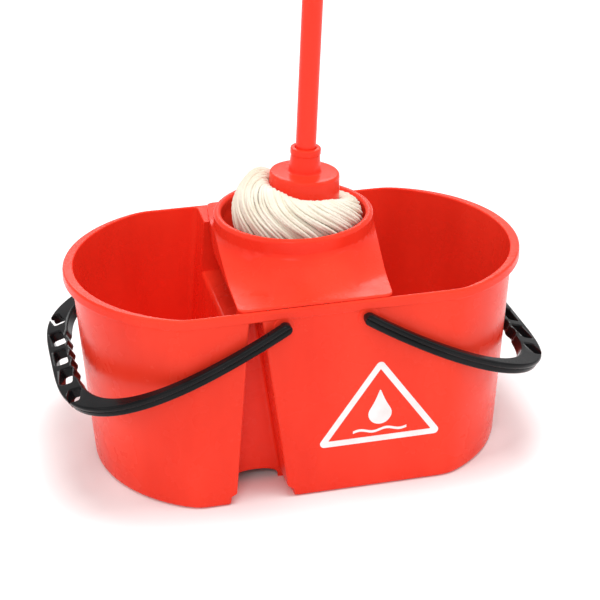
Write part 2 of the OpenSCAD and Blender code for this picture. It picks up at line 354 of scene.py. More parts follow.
def bucket_wall():
    """Outer skin up to the lip, as a solid with both grooves in it."""
    rings = []
    heights = [0, 0.4, 1.4, 3.0, 5.0, 9.5, 10.6, 12.0, 13.4, 14.5, 60, 110, 160, 200, LIP_Z + 0.5]
    for z in heights:
        if z < FOOT_RISE:
            bend = math.sqrt(1 - (1 - z / FOOT_RISE) ** 2)
            oval = mixed(FOOT, WALL_BASE, bend)
        else:
            oval = mixed(WALL_BASE, WALL_TOP, (z - FOOT_RISE) / (RIM_Z - FOOT_RISE))
        step = FOOT_STEP * (1 - smooth((z - 9.5) / 5))
        outline = outer_outline(oval, groove_edge(0, z) - step, groove_edge(1, z) + step)
        rings.append(at_height(outline, z))
    return loft("bucket_shell", rings)


def smooth(t):
    """Eases from 0 to 1 as t goes from 0 to 1."""
    t = min(1.0, max(0.0, t))
    return t * t * (3 - 2 * t)


def rim_slab():
    """The rolled lip, as a solid slab with rounded edges."""
    profile = [(-0.9, 0), (-0.35, 0.35), (0, 1.2), (0.15, 2.2), (0, 3.2), (-0.05, 8.6)]
    profile += [(-0.3, 9.8), (-0.9, 10.8), (-1.7, 11.5)]
    return loft("rim", [at_height(plain_outline(grown(RIM, d)), LIP_Z + z) for d, z in profile])


def tank_cutter(side):
    """The space inside one tank, flared at the top to round the lip's inner edge."""
    rings = []
    inner = grown(WALL_BASE, -WALL)
    for angle in range(0, 91, 18):
        z = WALL + 8 * (1 - math.cos(math.radians(angle)))
        inset = 8 * (1 - math.sin(math.radians(angle)))
        rings.append((z, inset))
    for z in (40, 90, 140, 180, 210, RIM_Z - 1.6):
        rings.append((z, 0))
    rings += [(RIM_Z - 0.8, -0.25), (RIM_Z - 0.2, -0.8), (RIM_Z + 0.2, -1.6), (RIM_Z + 3, -1.6)]
    outlines = []
    for z, inset in rings:
        oval = mixed(inner, grown(WALL_TOP, -WALL), (z - FOOT_RISE) / (RIM_Z - FOOT_RISE))
        edge = groove_edge(0, z) - WALL if side < 0 else groove_edge(1, z) + WALL
        heel = 7.5 * (1 - smooth((z - 9) / 11))
        outline = tank_outline(grown(oval, -inset), side, edge + side * (inset + heel))
        outlines.append(at_height(outline, z))
    return loft("tank", outlines)


def prism_along_y(name, outline, y_from, y_to):
    """A prism whose outline is given as (x, z) points."""
    rings = [[(x, y, z) for x, z in outline] for y in (y_from, y_to)]
    return loft(name, rings)


def quarter(cx, cz, r, start, end, steps=6):
    """Points of an arc, its angles in degrees."""
    return [
        (cx + r * math.cos(math.radians(a)), cz + r * math.sin(math.radians(a)))
        for a in np.linspace(start, end, steps)
    ]


def ridge_cutter():
    """The space over the ridge, which rounds the ridge's long edges."""
    left, right, r = groove_edge(0, RIDGE_Z) - WALL, groove_edge(1, RIDGE_Z) + WALL, 4.0
    outline = [(left - 14, RIM_Z + 4), (left - 14, RIDGE_Z - r), (left - 0.2, RIDGE_Z - r)]
    outline += quarter(left - 0.2 + r, RIDGE_Z - r, r, 180, 90)[1:]
    outline += quarter(right + 0.2 - r, RIDGE_Z - r, r, 90, 0)
    outline += [(right + 14, RIDGE_Z - r), (right + 14, RIM_Z + 4)]
    return prism_along_y("over_ridge", outline, -PILLAR_Y, PILLAR_Y)


def hollow_cutter():
    """The hollow under the ridge."""
    top = RIDGE_Z - WALL
    outline = [(groove_edge(0, -2), -2), (groove_edge(0, top), top - 5)]
    outline += [(groove_edge(0, top) + 5, top), (groove_edge(1, top) - 5, top)]
    outline += [(groove_edge(1, top), top - 5), (groove_edge(1, -2), -2)]
    return prism_along_y("hollow", outline, -PILLAR_Y, PILLAR_Y)


def tunnel_cutter():
    """The arch through the foot of both webs."""
    left, right = GROOVE_FLOOR[0] + 3, GROOVE_FLOOR[1] - 3
    middle, half = (left + right) / 2, (right - left) / 2
    outline = [(left, -2)]
    outline += [
        (middle - half * math.cos(a), 13.6 * math.sin(a) ** 0.55)
        for a in np.linspace(0.05, math.pi - 0.05, 25)
    ]
    outline += [(right, -2)]
    return prism_along_y("tunnel", outline, -WEB_Y - 8, WEB_Y + 8)


def disc_profile(r, h, edge=0.8):
    """Half profile of a disc whose far edge is rounded."""
    return [(0, 0), (r, 0), (r, h - edge), (r - 0.25 * edge, h - 0.3 * edge), (r - edge, h), (0, h)]


def turned(name, profile, steps=48):
    """A solid of revolution about Z from a half profile that starts and ends on the axis."""
    points = [(0, 0, profile[0][1])]
    faces = []
    inner = profile[1:-1]
    for i in range(steps):
        a = 2 * math.pi * i / steps
        points += [(r * math.cos(a), r * math.sin(a), z) for r, z in inner]
    points.append((0, 0, profile[-1][1]))
    count, last = len(inner), len(points) - 1
    for i in range(steps):
        here, there = 1 + i * count, 1 + (i + 1) % steps * count
        faces.append((0, there, here))
        for j in range(count - 1):
            faces.append((here + j, there + j, there + j + 1, here + j + 1))
        faces.append((here + count - 1, there + count - 1, last))
    return make_mesh(name, points, faces)


def facing_y(side, x, y, z):
    """Matrix that turns +Z outward along side * Y at a place given in millimetres."""
    turn = Matrix.Rotation(-side * math.pi / 2, 4, "X")
    return Matrix.Translation(Vector((x, y, z)) * MM) @ turn


def make_bucket(red):
    """The bucket as one moulding, with its pivot bosses and bores."""
    bucket = bucket_wall()
    merged(bucket, rim_slab(), "UNION")
    for cutter in (tank_cutter(-1), tank_cutter(1), ridge_cutter(), hollow_cutter(), tunnel_cutter()):
        merged(bucket, cutter, "DIFFERENCE")
    for side in (-1, 1):
        for x in (-PIVOT_X, PIVOT_X):
            boss = turned("boss", disc_profile(BOSS_R, BOSS_DEPTH))
            placed(boss, facing_y(side, x, side * (RIM_Y + 0.1 - BOSS_DEPTH), PIVOT_Z))
            merged(bucket, boss, "UNION")
            bore = turned("bore", [(0, 0), (5.06, 0), (5.06, 9), (5.6, 9.4), (6, 11), (0, 11)])
            placed(bore, facing_y(side, x, side * (RIM_Y - BORE_DEPTH), PIVOT_Z))
            merged(bucket, bore, "DIFFERENCE")
    cleaned(bucket)
    smoothed(bucket)
    bucket.data.materials.append(red)
    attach(bucket, "bucket")
    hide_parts("bucket")


# ---- sign ----


def triangle_outline(corners, r, steps=10):
    """A triangle with an arc of radius r round each of its corners."""
    points = []
    for i, corner in enumerate(corners):
        before = np.subtract(corner, corners[i - 1])
        after = np.subtract(corners[(i + 1) % 3], corner)
        first, last = (math.atan2(-side[0], side[1]) for side in (before, after))
        last += 2 * math.pi * (last < first)
        for a in np.linspace(first, last, steps + 1):
            points.append(np.add(corner, (r * math.cos(a), r * math.sin(a))))
    return np.array(points)


def pulled_in(corners, d):
    """Corners of the triangle whose sides lie d further in."""
    corners = np.array(corners, float)
    sides = [np.linalg.norm(corners[(i + 1) % 3] - corners[(i + 2) % 3]) for i in range(3)]
    middle = sum(side * corner for side, corner in zip(sides, corners)) / sum(sides)
    (ax, ay), (bx, by), (cx, cy) = corners
    inner_r = abs((bx - ax) * (cy - ay) - (cx - ax) * (by - ay)) / sum(sides)
    return middle + (corners - middle) * (1 - d / inner_r)


def drop_outline(r, steps=40):
    """A water drop: a round foot drawn out to a point at the top."""
    points = []
    for a in np.linspace(-math.pi / 2, 3 * math.pi / 2, steps, endpoint=False):
        lift = max(0.0, math.sin(a)) ** 3
        points.append((r * math.cos(a) * (1 - 0.62 * lift), r * math.sin(a) * (1 + 1.25 * lift)))
    return np.array(points)


def wave_outline(width, rise, thick, steps=36):
    """A rippling line of the given thickness."""
    across = np.linspace(-width / 2, width / 2, steps)
    upper = [(x, rise * math.sin(4 * math.pi * x / width)) for x in across]
    return np.array(upper + [(x, y - thick) for x, y in reversed(upper)])


def print_parts(outer, inner=None, shift=(0, 0), low=-0.1, high=0.28):
    """A thin printed shape, or a ring where inner is given, with a softened edge."""
    outer = outer + np.array(shift)
    centre = outer.mean(axis=0)

    def ring(outline, z, inset=0.0):
        pull = centre - outline
        pull = pull / np.linalg.norm(pull, axis=1, keepdims=True)
        return at_height(outline + pull * inset, z)

    if inner is None:
        return loft("print", [ring(outer, low), ring(outer, high - 0.1), ring(outer, high, 0.15)])
    inner = inner + np.array(shift)
    rings = [ring(outer, low), ring(outer, high - 0.1), ring(outer, high, 0.15)]
    rings += [ring(inner, high, -0.15), ring(inner, high - 0.1), ring(inner, low)]
    return loft("print", rings, looped=True)


def make_sign(white):
    """Rounded triangle, water drop and wave, printed on the front wall."""
    outer = triangle_outline(SIGN_CORNERS, SIGN_ROUND)
    sharp = 0.6
    inner = triangle_outline(pulled_in(SIGN_CORNERS, SIGN_LINE - SIGN_ROUND + sharp), sharp)
    ring = print_parts(outer, inner)
    drop = print_parts(drop_outline(13.0), shift=(0, -1))
    wave = print_parts(wave_outline(60, 1.6, 3.0), shift=(0, -19.5))
    sign = joined(ring, drop, wave)
    sign.name = "slip_sign_print"
    rise = (WALL_TOP[1] - WALL_BASE[1]) / (RIM_Z - FOOT_RISE)
    across, up = SIGN_MIDDLE
    place = Vector((across, -WALL_BASE[1] - rise * (up - FOOT_RISE), up)) * MM
    placed(sign, Matrix.Translation(place) @ Matrix.Rotation(math.pi / 2 + math.atan(rise), 4, "X"))
    cleaned(sign)
    smoothed(sign)
    sign.data.materials.append(white)
    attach(sign, "bucket")
    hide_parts("slip_sign")


# ---- bails ----


def bail_curve(half, reach, q):
    """A point of a bail's outline: q from 0 at the end of the straight arm to pi/2 at the far end."""
    power = 2 / BAIL_POWER
    start = BAIL_STRAIGHT
    along = start + (reach - start) * max(0.0, math.sin(q)) ** power
    return np.array([along, half * max(0.0, math.cos(q)) ** power])


def even_angles(half, reach, spacing):
    """Values of q that step evenly along the outline."""
    fine = np.linspace(0, math.pi / 2, 1500)
    path = np.array([bail_curve(half, reach, q) for q in fine])
    run = np.concatenate([[0], np.cumsum(np.linalg.norm(np.diff(path, axis=0), axis=1))])
    count = int(run[-1] / spacing)
    return np.interp(np.linspace(0, run[-1], count + 1), run, fine)


def bail_sections():
    """(outer point, inner point, height factor) along half of a bail, from the pivot to the middle."""
    outer_half = BAIL_INNER + BAIL_WIDTH
    half_thick = BAIL_THICK / 2
    sections = []
    for a in np.linspace(0.12, math.pi / 2, 8):
        s = -half_thick * math.cos(a)
        sections.append((np.array([s, outer_half]), np.array([s, BAIL_INNER]), math.sin(a)))
    for s in np.arange(6.0, BAIL_STRAIGHT - 2, 6.0):
        sections.append((np.array([s, outer_half]), np.array([s, BAIL_INNER]), 1.0))
    for q in even_angles(outer_half, BAIL_REACH, 4.0):
        outer = bail_curve(outer_half, BAIL_REACH, q)
        inner = bail_curve(BAIL_INNER, BAIL_REACH - BAIL_GRIP, q)
        if inner[1] < SCALLOP_END:
            fade = smooth((SCALLOP_END - inner[1]) / 6)
            inner[0] += 1.25 * fade * (1 + math.cos(2 * math.pi * inner[1] / SCALLOP_PITCH))
        sections.append((outer, inner, 1.0))
    return sections


def section_ring(outer, inner, factor, reach_in):
    """Closed section of a bail: a rounded bead over a skirt on the outside, a plain round inside."""
    along = (inner - outer) / np.linalg.norm(inner - outer)
    tuck = 1.5 - 0.9 * smooth(reach_in)
    outside = [(3.0, 6.5), (1.8, 6.2), (0.8, 5.4), (0.2, 4.2), (0.0, 2.8), (0.2, 1.3), (0.8, 0.4)]
    outside += [(tuck + 0.6, -0.2), (tuck, -1.0), (tuck * 0.8, -3.0), (tuck * 0.7, -4.9)]
    outside += [(tuck * 0.7 + 0.7, -6.0), (tuck * 0.7 + 1.6, -6.5)]
    inside = [(2.4, -6.5), (1.1, -6.1), (0.3, -5.2), (0.0, -4.0)]
    inside += [(0.0, 4.0), (0.3, 5.2), (1.1, 6.1), (2.4, 6.5)]
    ring = [(*(outer + along * d), n * factor) for d, n in outside]
    ring += [(*(inner - along * d), n * factor) for d, n in inside]
    return ring


def ladder_cutter(i):
    """One finger window of the grip, its edges flared so that they come out rounded."""
    length = 33.0 if abs(i) < 2 else 25.0
    depth = BAIL_GRIP - 2 * BAIL_RAIL
    wide, tall = depth / 2, length / 2
    corners = [(-wide, -tall), (wide, -tall), (wide, tall), (-wide, tall)]
    turn = math.radians(-WINDOW_FAN * i)
    c, s = math.cos(turn), math.sin(turn)
    centre = np.array([BAIL_REACH - BAIL_GRIP / 2 - WINDOW_CURVE * i * i, WINDOW_PITCH * i])
    rings = []
    flare = ((-8, 2.4), (-6.5, 1.5), (-6.0, 0.6), (-5.0, 0), (5.0, 0), (6.0, 0.6), (6.5, 1.5), (8, 2.4))
    for n, extra in flare:
        grow = 1 + 2 * extra / depth, 1 + 2 * extra / length
        outline = rounded([(x * grow[0], y * grow[1]) for x, y in corners], [4.5] * 4)
        spun = np.array([(x * c - y * s, x * s + y * c) for x, y in outline])
        rings.append([(*(centre + p), n) for p in spun])
    return loft("window", rings)


def bail_pin(side):
    """Pivot pin with its snap head, from the arm inward."""
    profile = [(0, 0), (5, 0), (5, 6.9), (6.6, 7.2), (6.6, 8.2), (5.2, 10.0), (4.4, 10.2), (0, 10.2)]
    pin = turned("pin", profile, steps=32)
    return placed(pin, facing_y(-side, 0, side * (BAIL_INNER + 0.6), 0))


def make_bail(name, side, black):
    """A bail with its pins, at its resting droop on the given side."""
    half = bail_sections()
    rings = []
    for outer, inner, factor in half:
        rings.append(section_ring(outer, inner, factor, (outer[0] - 40) / 80))
    for outer, inner, factor in reversed(half[:-1]):
        flip = np.array([1, -1])
        rings.append(section_ring(outer * flip, inner * flip, factor, (outer[0] - 40) / 80))
    bail = loft(name, rings)
    for i in range(-2, 3):
        merged(bail, ladder_cutter(i), "DIFFERENCE")
    joined(bail, bail_pin(1), bail_pin(-1))
    droop = math.cos(BAIL_DROOP[side]), math.sin(BAIL_DROOP[side])
    for vertex in bail.data.vertices:
        s, y, n = (c / MM for c in vertex.co)
        n += BAIL_BOW * (s / BAIL_BOW_AT) ** 2
        x = side * (PIVOT_X + s * droop[0] + n * droop[1])
        vertex.co = Vector((x, y, PIVOT_Z - s * droop[1] + n * droop[0])) * MM
    if side < 0:
        bail.data.flip_normals()
    cleaned(bail)
    smoothed(bail)
    bail.data.materials.append(black)
    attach(bail, name.replace("_body", ""))
    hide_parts(name.replace("_body", ""))


# ---- wringer ----


def wringer_shell():
    """Collar and drain cone as one turned shell."""
    lip = (COLLAR_R - COLLAR_IN_R) / 2
    middle = COLLAR_IN_R + lip
    profile = [
        (middle + lip * math.cos(math.radians(a)), COLLAR_TOP - lip + lip * math.sin(math.radians(a)))
        for a in range(180, -1, -15)
    ]
    profile += [(COLLAR_R, STRAIGHT_Z), (COLLAR_R, COLLAR_LOW_Z), (COLLAR_R - COLLAR_WALL, COLLAR_LOW_Z)]
    profile += [(COLLAR_IN_R + WALL, STRAIGHT_Z - 6), (CONE_BOTTOM_R + WALL + 0.5, CONE_FLOOR + 3)]
    profile += [(CONE_BOTTOM_R + WALL - 1.5, CONE_FLOOR), (0.6, CONE_FLOOR), (0.6, CONE_FLOOR + WALL)]
    profile += [(CONE_BOTTOM_R - 4, CONE_FLOOR + WALL), (CONE_BOTTOM_R - 1, CONE_FLOOR + WALL + 1.2)]
    profile += [(CONE_BOTTOM_R + 1.2, CONE_FLOOR + WALL + 5), (COLLAR_IN_R - 0.6, STRAIGHT_Z - 3)]
    profile += [(COLLAR_IN_R, STRAIGHT_Z + 3)]
    return lathe("wringer_body", profile, steps=144)


def even_outline(outline, count):
    """The same closed outline with points at even spacing, from its rightmost crossing of the X axis."""
    path = np.array(list(outline) + [outline[0]], float)
    run = np.concatenate([[0], np.cumsum(np.linalg.norm(np.diff(path, axis=0), axis=1))])
    at = np.linspace(0, run[-1], count, endpoint=False)
    return np.stack([np.interp(at, run, path[:, k]) for k in range(2)], axis=1)


def saddle_outline():
    """Foot of the skirt: wide at the front and back, and close to the collar at the sides."""
    points = [(SIDE_X, 0), (SIDE_X, SIDE_Y), (SADDLE_RIGHT, SADDLE_Y), (-SADDLE_BACK_LEFT, SADDLE_Y)]
    points += [(-SIDE_X, SIDE_Y), (-SADDLE_LEFT, -SADDLE_Y), (SADDLE_RIGHT, -SADDLE_Y), (SIDE_X, -SIDE_Y)]
    return even_outline(rounded(points, [0, 12, 8, 8, 12, 8, 8, 12], steps=8), 320)


# Top of the skirt along a line away from the collar: (distance from the axis, height)
SKIRT_PROFILE = [(84.0, 266.5), (87.1, 264.2), (88.1, 259.6), (89.6, 255.4), (92.5, 250.8), (97.0, 246.8)]
SKIRT_PROFILE += [(104.0, 242.4), (112.0, 238.6), (120.0, 235.8), (128.0, 234.2)]
SKIRT_PROFILE += [(145.0, 233.4), (170.0, 233.0)]


def skirt_height(r):
    """Height of the skirt's top at a distance from the axis."""
    radii, heights = zip(*SKIRT_PROFILE)
    return float(np.interp(r, radii, heights))


def panel_rise(x, y, r):
    """How far the raised panel at the front and back stands out of the skirt."""
    down = (r - COLLAR_R) / 50
    inside = min(x + 49 + 6 * down, 45 - 4 * down - x)
    fade = smooth((r - 89) / 6) * (1 - smooth((r - 128) / 8))
    return 1.3 * smooth(inside / 4.0) * fade if abs(y) > COLLAR_R / 2 else 0.0


def make_skirt():
    """Skirt from the collar down to the rim: a shell that stops at the foot's outline."""
    foot = saddle_outline()
    reach = np.linalg.norm(foot, axis=1)
    way = foot / reach[:, None]
    start = COLLAR_R - 3.2
    rings = []
    for t in (0, 0.03, 0.06, 0.1, 0.15, 0.2, 0.28, 0.36, 0.44, 0.52, 0.6, 0.7, 0.8, 0.9, 0.96, 0.985):
        ring = []
        for (cx, cy), far in zip(way, reach):
            r = start + (far - start) * t
            ring.append((cx * r, cy * r, skirt_height(r) + panel_rise(cx * r, cy * r, r)))
        rings.append(ring)
    rings.append([(x, y, skirt_height(r) - 0.9) for (x, y), r in zip(foot, reach)])
    rings.append([(x, y, SADDLE_Z + 0.6) for x, y in foot])
    rings.append([(x * 0.996, y * 0.996, SADDLE_Z) for x, y in foot])
    rings.append([(x * 0.972, y * 0.972, SADDLE_Z) for x, y in foot])
    for t in (0.94, 0.6, 0.3, 0.0):
        ring = []
        for (cx, cy), far in zip(way, reach):
            r = start + max(far - 3 - start, 0.8) * t
            ring.append((cx * r, cy * r, max(SADDLE_Z, skirt_height(r) - 3.4)))
        rings.append(ring)
    return loft("skirt", rings, looped=True)


def slot_cutter(angle):
    """One drain slot with round ends."""
    half, low, high = 4.0, 142.0, 205.0
    outline = []
    for middle, start in ((high - half, 0), (low + half, math.pi)):
        for a in np.linspace(start, start + math.pi, 9):
            outline.append((half * math.cos(a), middle + half * math.sin(a)))
    rings = [[(x, y, z) for y, z in outline] for x in (CONE_BOTTOM_R - 8, CONE_BOTTOM_R + 52)]
    slot = loft("slot", rings)
    return placed(slot, Matrix.Rotation(angle, 4, "Z"))


def make_wringer(red):
    """Collar, skirt and slotted drain cone as one moulding."""
    wringer = wringer_shell()
    merged(wringer, make_skirt(), "UNION")
    for i in range(SLOTS):
        merged(wringer, slot_cutter(2 * math.pi * i / SLOTS), "DIFFERENCE")
    for i in range(DRAINS):
        hole = turned("hole", [(0, -4), (6, -4), (6, 4), (0, 4)], steps=24)
        a = math.radians(360 / DRAINS * i)
        spot = Vector((DRAIN_RING_R * math.cos(a), DRAIN_RING_R * math.sin(a), CONE_FLOOR + 1.5)) * MM
        merged(wringer, placed(hole, Matrix.Translation(spot)), "DIFFERENCE")
    cleaned(wringer)
    smoothed(wringer, angle=38)
    wringer.data.materials.append(red)
    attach(wringer, "wringer")
    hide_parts("wringer")


# ---- mop ----


def make_socket(red):
    """Bell and threaded neck, one turned moulding."""
    profile = [(10.5, -6), (14.5, -6), (14.5, 11.5), (34.0, 11.5), (35.6, 10.4), (36.6, -17), (37.0, -17.6)]
    profile += [(38.5, -17.6), (39.0, -17), (39.0, -10), (38.2, 11.6), (37.9, 13.2), (37.0, 14.4)]
    profile += [(35.6, 15.0), (30.0, 15.2), (19.6, 15.3), (18.2, 15.6), (17.5, 16.4), (17.2, 18.0)]
    profile += [(16.8, 24.0), (15.9, 34.0), (15.8, 35.2), (16.3, 35.8), (16.6, 36.6), (16.6, 41.4)]
    profile += [(16.3, 42.3), (15.4, 43.0), (12.2, 43.0), (11.4, 42.2), (11.4, 32.5), (10.5, 32.5)]
    socket = lathe("mop_socket_body", profile, steps=112)
    placed(socket, mop_matrix())
    smoothed(socket, angle=40)
    socket.data.materials.append(red)
    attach(socket, "mop_head")
    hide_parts("mop_socket")


def make_cap(red):
    """Cap in the handle's top with a flat eye to hang the mop by."""
    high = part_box("hang_cap")[1]
    top = (high.z - MOP_ORIGIN.z) / MOP_AXIS.z / MM
    base = top - 30 - 20
    hole_z = base + 20 + 24
    plug = [(0, base), (10.0, base), (10.0, base + 20), (12.2, base + 20.3), (12.2, base + 27)]
    plug += [(11.6, base + 28), (10.4, base + 28.4), (0, base + 28.4)]
    cap = turned("hang_cap_body", plug, steps=64)
    rings = []
    for y, inset in ((-5, 1.2), (-4.7, 0.5), (-4, 0), (4, 0), (4.7, 0.5), (5, 1.2)):
        r = 12.2 - inset
        arc = [(r * math.cos(a), hole_z - 6 + r * math.sin(a)) for a in np.linspace(0, math.pi, 25)]
        rings.append([(x, y, z) for x, z in [(r, base + 24), *arc, (-r, base + 24)]])
    merged(cap, loft("eye", rings), "UNION")
    bell_mouthed = [(0, -8), (5.6, -8), (5.2, -5), (4.2, -4), (4, -3.2)]
    bell_mouthed += [(4, 3.2), (4.2, 4), (5.2, 5), (5.6, 8), (0, 8)]
    hole = turned("hole", bell_mouthed)
    placed(hole, Matrix.Translation((0, 0, hole_z * MM)) @ Matrix.Rotation(math.pi / 2, 4, "X"))
    merged(cap, hole, "DIFFERENCE")
    placed(cap, mop_matrix())
    smoothed(cap)
    cap.data.materials.append(red)
    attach(cap, "handle")
    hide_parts("hang_cap")


# ---- yarn ----

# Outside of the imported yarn, from under the bell over the bulge and down the cone: (radius, height)
YARN_PATH = [(27, -24), (36, -20.5), (41.5, -15), (43.5, -6), (48, -1), (54, -4), (60, -12), (63.6, -26)]
YARN_PATH += [(63.4, -42), (58.6, -64), (50, -96), (41.6, -126), (35.5, -148), (29, -156)]

# Heaps and hollows round the bell: (direction in degrees, spread in radians, height)
HEAPS = [(152, 0.62, 15.0), (212, 0.50, 7.5), (-12, 0.28, 2.0), (50, 1.05, -21.0), (-20, 0.6, -7.0)]
SIDE_BULGE = 12.5


def yarn_point(u):
    """(radius, height) at u from 0 to 1 along the yarn's outside."""
    path = np.array(YARN_PATH, float)
    run = np.concatenate([[0], np.cumsum(np.linalg.norm(np.diff(path, axis=0), axis=1))])
    run /= run[-1]
    return np.interp(u, run, path[:, 0]), np.interp(u, run, path[:, 1])


def hump(angle, u):
    """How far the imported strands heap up, or sink, beside the bell."""
    total = 0.0
    for direction, spread, height in HEAPS:
        middle = math.radians(direction)
        away = math.atan2(math.sin(angle - middle), math.cos(angle - middle))
        reach = 0.085 if height > 0 else 0.16
        total += height * math.exp(-((away / spread) ** 2) - ((u - 0.15) / reach) ** 2)
    return total


def side_bulge(angle, u):
    """How far the strands lie out towards the left, where the collar leaves more room."""
    left = 0.5 - 0.5 * math.cos(angle)
    return SIDE_BULGE * left**1.3 * smooth((u - 0.1) / 0.16) * (1 - smooth((u - 0.52) / 0.36))


def strand_path(rng, start, depth, long):
    """Centre line of one strand, as points in the mop's own frame."""
    steps = 84
    reach = 1.0 if long else rng.uniform(0.72, 0.98)
    swirl = rng.uniform(1.05, 1.45)
    wave, phase = rng.uniform(0.3, 1.0), rng.uniform(0, 2 * math.pi)
    points = []
    for i in range(steps + 1):
        u = reach * i / steps
        r, h = yarn_point(u)
        turn = swirl * smooth((u - 0.03) / 0.42) + 0.5 * u
        a = start + turn
        lift = hump(a, u)
        sink = depth * (0.35 + 0.65 * smooth((u - 0.04) / 0.1))
        crowd = 1.5 * math.sin(9 * u + phase) * wave * smooth((u - 0.08) / 0.2)
        r = r - sink + crowd * 0.5 + side_bulge(a, u)
        h = h + lift - sink * 0.5 * (1 - smooth(u / 0.3))
        a += 0.018 * wave * math.sin(14 * u + phase)
        points.append((r * math.cos(a), r * math.sin(a), h))
    return np.array(points)


def even_path(points, spacing):
    """The same line with points at even spacing, smoothed."""
    for _ in range(3):
        points[1:-1] = (points[:-2] + 2 * points[1:-1] + points[2:]) / 4
    run = np.concatenate([[0], np.cumsum(np.linalg.norm(np.diff(points, axis=0), axis=1))])
    count = max(8, int(run[-1] / spacing))
    at = np.linspace(0, run[-1], count + 1)
    return np.stack([np.interp(at, run, points[:, k]) for k in range(3)], axis=1)


def rope_parts(path, radius, lay=13.0, plies=3, sides=10):
    """Points and faces of one twisted strand, whose section has a lobe for each ply."""
    points, faces = [], []
    tangents = np.gradient(path, axis=0)
    tangents /= np.linalg.norm(tangents, axis=1, keepdims=True)
    normal = np.cross(tangents[0], [0.3, 0.2, 1.0])
    run = 0.0
    for i, (p, t) in enumerate(zip(path, tangents)):
        normal = normal - t * np.dot(normal, t)
        normal /= np.linalg.norm(normal)
        side = np.cross(t, normal)
        if i:
            run += np.linalg.norm(p - path[i - 1])
        ends = min(1.0, 0.35 + 0.65 * min(i, len(path) - 1 - i) / 1.5)
        for j in range(sides):
            a = 2 * math.pi * j / sides
            bump = 1 + 0.16 * math.cos(plies * (a - 2 * math.pi * run / lay / plies * 3))
            points.append(p + (normal * math.cos(a) + side * math.sin(a)) * radius * bump * ends)
    rows = len(path)
    for i in range(rows - 1):
        for j in range(sides):
            k = (j + 1) % sides
            faces.append((i * sides + j, i * sides + k, (i + 1) * sides + k, (i + 1) * sides + j))
    faces.append(tuple(range(sides - 1, -1, -1)))
    faces.append(tuple(range((rows - 1) * sides, rows * sides)))
    return points, faces


def make_yarn(cotton, painted_shade_material):
    """All strands of the mop as one piece."""
    rng = random.Random(11)
    points, faces = [], []
    spacing = 2.6
    layers = [(84, 0.0, STRAND_R, True), (70, 2.6, STRAND_R, False), (48, 5.4, STRAND_R, True)]
    for count, depth, radius, long in layers:
        for i in range(count):
            start = 2 * math.pi * (i + rng.uniform(-0.22, 0.22)) / count
            path = strand_path(rng, start, depth + rng.uniform(-0.5, 1.0), long)
            strand, quads = rope_parts(even_path(path, spacing), radius * rng.uniform(0.88, 1.08))
            base = len(points)
            points += list(strand)
            faces += [tuple(base + k for k in face) for face in quads]
    yarn = make_mesh("mop_yarn_strands", points, faces)
    placed(yarn, mop_matrix())
    yarn.data.shade_smooth()
    yarn.data.materials.append(cotton)
    # The core is a dark sheet of painted shade under the strands, not a real part of the mop.
    shade_core = make_painted_shade_core(painted_shade_material)
    for piece in (yarn, shade_core):
        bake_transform(piece)
    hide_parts("mop_yarn")


def make_painted_shade_core(material):
    """A dark inner sheet in the tuft, coloured as painted shade, seen only between the strands."""
    rings = []
    for u in np.linspace(0.03, 1, 40):
        ring = []
        for j in range(72):
            a = 2 * math.pi * j / 72
            r, h = yarn_point(u)
            r = r - 8.0 + 0.6 * math.sin(9 * a + 20 * u) + side_bulge(a, u)
            ring.append((r * math.cos(a), r * math.sin(a), h - 3 + 0.8 * hump(a, u)))
        rings.append(ring)
    shade_core = loft("mop_yarn_painted_shade_core", rings)
    placed(shade_core, mop_matrix())
    shade_core.data.shade_smooth()
    shade_core.data.materials.append(material)
    return shade_core


# ---- materials ----


class Nodes:
    """A short way to build a node tree."""

    def __init__(self, name):
        self.material = bpy.data.materials.new(name)
        self.material.use_nodes = True
        self.tree = self.material.node_tree
        self.shader = self.tree.nodes["Principled BSDF"]
        self.place = self.tree.nodes.new("ShaderNodeTexCoord").outputs["Object"]

    def node(self, kind, inputs=None, **settings):
        made = self.tree.nodes.new(kind)
        for key, value in settings.items():
            setattr(made, key, value)
        for key, value in (inputs or {}).items():
            self.set(made.inputs[key], value)
        return made

    def set(self, socket, value):
        if isinstance(value, bpy.types.NodeSocket):
            self.tree.links.new(value, socket)
        else:
            socket.default_value = value

    def noise(self, scale, detail=3.0, roughness=0.5, place=None):
        fields = {"Vector": place or self.place, "Scale": scale, "Detail": detail, "Roughness": roughness}
        return self.node("ShaderNodeTexNoise", fields).outputs["Fac"]

    def stretched(self, scale):
        return self.node("ShaderNodeMapping", {"Vector": self.place, "Scale": scale}).outputs["Vector"]

    def ramp(self, value, low, high, from_value=0.0, to_value=1.0):
        fields = {"Value": value, "From Min": low, "From Max": high}
        fields.update({"To Min": from_value, "To Max": to_value})
        return self.node("ShaderNodeMapRange", fields).outputs["Result"]

    def mix(self, factor, first, second):
        made = self.node("ShaderNodeMix", data_type="RGBA")
        self.set(made.inputs[0], factor)
        self.set(made.inputs[6], first)
        self.set(made.inputs[7], second)
        return made.outputs[2]

    def math(self, operation, first, second):
        made = self.node("ShaderNodeMath", operation=operation)
        self.set(made.inputs[0], first)
        self.set(made.inputs[1], second)
        return made.outputs[0]

    def bump(self, height, distance, strength=1.0, normal=None):
        fields = {"Height": height, "Distance": distance, "Strength": strength}
        made = self.node("ShaderNodeBump", fields)
        if normal is not None:
            self.set(made.inputs["Normal"], normal)
        return made.outputs["Normal"]

    def finish(self, **inputs):
        for key, value in inputs.items():
            self.set(self.shader.inputs[key.replace("_", " ")], value)
        return self.material


